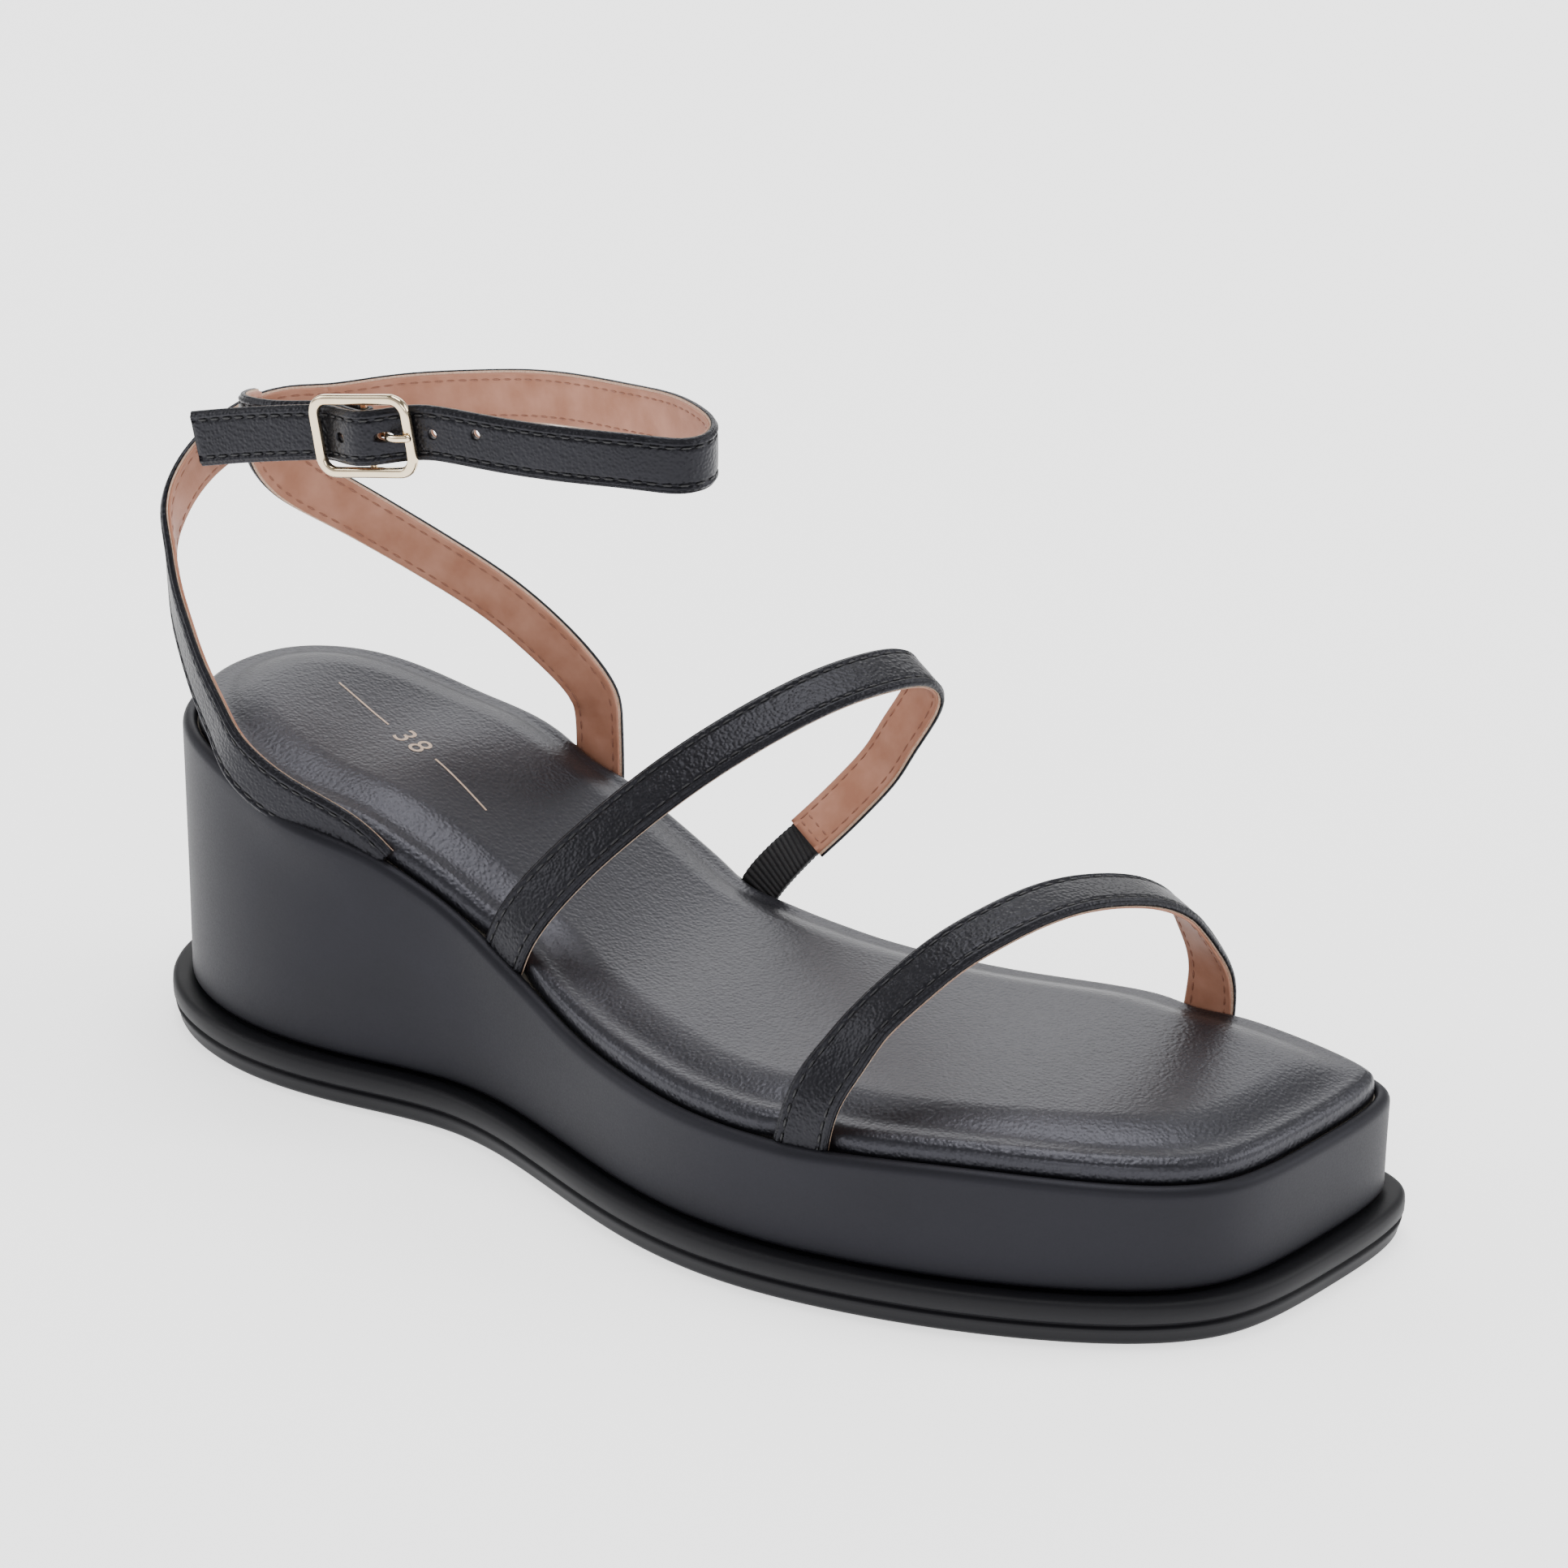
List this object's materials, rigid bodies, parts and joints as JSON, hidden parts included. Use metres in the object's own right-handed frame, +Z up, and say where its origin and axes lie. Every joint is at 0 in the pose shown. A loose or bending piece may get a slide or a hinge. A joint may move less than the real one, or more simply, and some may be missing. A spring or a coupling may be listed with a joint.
{
  "type": "wedge sandal",
  "caption": "Women's right-foot platform wedge sandal: flat wrapped wedge on a flanged rubber outsole, padded insole, narrow toe and instep straps, crossing ankle strap with a buckle.",
  "frame": {"origin": "middle of the underside of the whole sandal's box, on the floor", "axes": "+X from heel to toe, +Y to the inner side of the foot, +Z up"},
  "size_m": [0.252, 0.1036, 0.1413],
  "materials": {
    "outsole_rubber": "moulded, matt dark grey",
    "wedge_foam": "moulded foam, hidden",
    "wrap_leather": "smooth coated leather, matt black",
    "board": "fibre board, hidden",
    "footbed_foam": "open foam, hidden",
    "insole_leather": "fine grain, soft sheen",
    "strap_leather": "grained black leather, turned edges",
    "lining_leather": "smooth tan lining",
    "elastic": "ribbed woven elastic",
    "buckle_metal": "polished pale gold"
  },
  "bodies": {
    "sole": {"outsole": "outsole_rubber", "wedge_core": "wedge_foam", "wedge_cover": "wrap_leather", "insole_board": "board", "footbed_foam": "footbed_foam", "insole_cover": "insole_leather", "toe_strap": "strap_leather", "toe_strap_lining": "lining_leather", "instep_gore": "elastic", "outer_anchor": "strap_leather", "outer_anchor_lining": "lining_leather", "inner_anchor": "strap_leather", "inner_anchor_lining": "lining_leather"},
    "instep": {"instep_strap": "strap_leather", "instep_strap_lining": "lining_leather"},
    "ankle": {"ankle_loop": "strap_leather", "ankle_loop_lining": "lining_leather", "buckle_strap": "strap_leather", "buckle_strap_lining": "lining_leather"},
    "strap_end": {"ankle_front": "strap_leather", "ankle_front_lining": "lining_leather", "ankle_tail": "strap_leather", "ankle_tail_lining": "lining_leather"},
    "buckle": {"buckle_frame": "buckle_metal"},
    "prong": {"buckle_prong": "buckle_metal"}
  },
  "joints": [
    {"name": "instep_stretch", "type": "hinge", "parent": "sole", "child": "instep", "pos_m": [-0.0337, -0.029, 0.0398], "axis": [0.9728, -0.2318, 0], "range_deg": [0, 7], "deforming": ["instep_gore"]},
    {"name": "ankle_tilt", "type": "hinge", "parent": "sole", "child": "ankle", "pos_m": [-0.07832, 0.00301, 0.07095], "axis": [0.5997, 0.785, -0.1554], "range_deg": [-10, 14]},
    {"name": "strap_open", "type": "hinge", "parent": "ankle", "child": "strap_end", "pos_m": [-0.00497, -0.00209, 0.13525], "axis": [0, -0.0289, 0.9996], "range_deg": [0, 80], "deforming": ["ankle_tail", "ankle_tail_lining"]},
    {"name": "buckle_tilt", "type": "hinge", "parent": "ankle", "child": "buckle", "pos_m": [-0.06794, -0.01924, 0.13215], "axis": [-0.174, -0.0176, 0.9846], "range_deg": [0, 30]},
    {"name": "prong_lift", "type": "hinge", "parent": "buckle", "child": "prong", "pos_m": [-0.06794, -0.01924, 0.13215], "axis": [0.174, 0.0176, -0.9846], "range_deg": [0, 110]}
  ],
  "couplings": [
    {"joint": "buckle_tilt", "follows": "strap_open", "ratio": 0.375},
    {"joint": "prong_lift", "follows": "strap_open", "ratio": 1.375}
  ]
}
